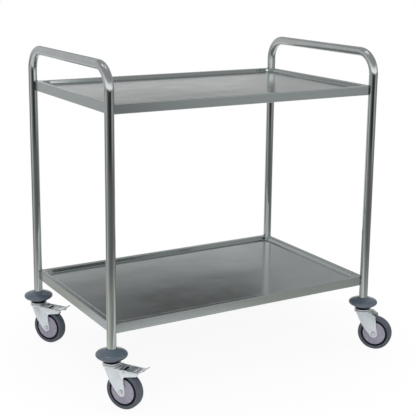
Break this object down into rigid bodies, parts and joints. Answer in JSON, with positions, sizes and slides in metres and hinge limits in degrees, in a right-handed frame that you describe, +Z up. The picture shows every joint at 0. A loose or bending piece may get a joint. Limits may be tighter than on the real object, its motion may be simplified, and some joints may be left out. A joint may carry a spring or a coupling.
{
  "type": "two-shelf serving trolley",
  "caption": "Stainless steel serving trolley with sunk tray shelves between bent tube end frames with push handles, rubber corner bumpers and swivel casters with toe brakes at one end.",
  "frame": {"origin": "on the floor, midway between the four posts", "axes": "+X along the shelves from the braked end to the plain end, +Y from front to back across the shelves, +Z up"},
  "size_m": [0.9352, 0.6637, 0.8977],
  "materials": {
    "polished_tube": "polished stainless tube",
    "shelf_steel": "satin stainless sheet",
    "plated_steel": "bright zinc plating",
    "bright_steel": "bright plated steel",
    "bumper_rubber": "smooth slate-grey moulded rubber",
    "tyre_rubber": "smooth grey tyre rubber",
    "guard_plastic": "moulded mauve-grey plastic",
    "black_plastic": "black moulded plastic",
    "bush_plastic": "natural nylon"
  },
  "bodies": {
    "frame": {"left_tube_frame": "polished_tube", "right_tube_frame": "polished_tube", "upper_shelf": "shelf_steel", "lower_shelf": "shelf_steel", "upper_shelf_stiffeners": "shelf_steel", "lower_shelf_stiffeners": "shelf_steel", "shelf_corner_saddles": "shelf_steel", "shelf_bolts": "bright_steel", "post_thread_inserts": "bright_steel", "bumper_front_left": "bumper_rubber", "caster_expander_front_left": "black_plastic", "king_bolt_front_left": "bright_steel", "caster_head_front_left": "bright_steel", "bumper_back_left": "bumper_rubber", "caster_expander_back_left": "black_plastic", "king_bolt_back_left": "bright_steel", "caster_head_back_left": "bright_steel", "bumper_front_right": "bumper_rubber", "caster_expander_front_right": "black_plastic", "king_bolt_front_right": "bright_steel", "caster_head_front_right": "bright_steel", "bumper_back_right": "bumper_rubber", "caster_expander_back_right": "black_plastic", "king_bolt_back_right": "bright_steel", "caster_head_back_right": "bright_steel"},
    "swivel_front_left": {"fork_front_left": "plated_steel", "ball_ring_front_left": "bright_steel", "axle_front_left": "bright_steel", "brake_pin_front_left": "bright_steel"},
    "wheel_front_left": {"wheel_core_front_left": "black_plastic", "tyre_front_left": "tyre_rubber", "bearing_bush_front_left": "bush_plastic", "thread_guards_front_left": "guard_plastic"},
    "brake_front_left": {"brake_pedal_front_left": "plated_steel", "brake_shoe_front_left": "black_plastic"},
    "swivel_back_left": {"fork_back_left": "plated_steel", "ball_ring_back_left": "bright_steel", "axle_back_left": "bright_steel", "brake_pin_back_left": "bright_steel"},
    "wheel_back_left": {"wheel_core_back_left": "black_plastic", "tyre_back_left": "tyre_rubber", "bearing_bush_back_left": "bush_plastic", "thread_guards_back_left": "guard_plastic"},
    "brake_back_left": {"brake_pedal_back_left": "plated_steel", "brake_shoe_back_left": "black_plastic"},
    "swivel_front_right": {"fork_front_right": "plated_steel", "ball_ring_front_right": "bright_steel", "axle_front_right": "bright_steel"},
    "wheel_front_right": {"wheel_core_front_right": "black_plastic", "tyre_front_right": "tyre_rubber", "bearing_bush_front_right": "bush_plastic", "thread_guards_front_right": "guard_plastic"},
    "swivel_back_right": {"fork_back_right": "plated_steel", "ball_ring_back_right": "bright_steel", "axle_back_right": "bright_steel"},
    "wheel_back_right": {"wheel_core_back_right": "black_plastic", "tyre_back_right": "tyre_rubber", "bearing_bush_back_right": "bush_plastic", "thread_guards_back_right": "guard_plastic"}
  },
  "joints": [
    {"name": "swivel_front_left", "type": "hinge", "parent": "frame", "child": "swivel_front_left", "pos_m": [-0.415, -0.26, 0.112], "axis": [0, 0, 1], "continuous": true},
    {"name": "wheel_spin_front_left", "type": "hinge", "parent": "swivel_front_left", "child": "wheel_front_left", "pos_m": [-0.3938, -0.29392, 0.05], "axis": [0.848, 0.5299, 0], "continuous": true},
    {"name": "brake_pedal_front_left", "type": "hinge", "parent": "swivel_front_left", "child": "brake_front_left", "pos_m": [-0.38956, -0.30071, 0.106], "axis": [0.848, 0.5299, 0], "range_deg": [0, 9]},
    {"name": "swivel_back_left", "type": "hinge", "parent": "frame", "child": "swivel_back_left", "pos_m": [-0.415, 0.26, 0.112], "axis": [0, 0, 1], "continuous": true},
    {"name": "wheel_spin_back_left", "type": "hinge", "parent": "swivel_back_left", "child": "wheel_back_left", "pos_m": [-0.3938, 0.22608, 0.05], "axis": [0.848, 0.5299, 0], "continuous": true},
    {"name": "brake_pedal_back_left", "type": "hinge", "parent": "swivel_back_left", "child": "brake_back_left", "pos_m": [-0.38956, 0.21929, 0.106], "axis": [0.848, 0.5299, 0], "range_deg": [0, 9]},
    {"name": "swivel_front_right", "type": "hinge", "parent": "frame", "child": "swivel_front_right", "pos_m": [0.415, -0.26, 0.112], "axis": [0, 0, 1], "continuous": true},
    {"name": "wheel_spin_front_right", "type": "hinge", "parent": "swivel_front_right", "child": "wheel_front_right", "pos_m": [0.43907, -0.29195, 0.05], "axis": [0.7986, 0.6018, 0], "continuous": true},
    {"name": "swivel_back_right", "type": "hinge", "parent": "frame", "child": "swivel_back_right", "pos_m": [0.415, 0.26, 0.112], "axis": [0, 0, 1], "continuous": true},
    {"name": "wheel_spin_back_right", "type": "hinge", "parent": "swivel_back_right", "child": "wheel_back_right", "pos_m": [0.43907, 0.22806, 0.05], "axis": [0.7986, 0.6018, 0], "continuous": true}
  ]
}
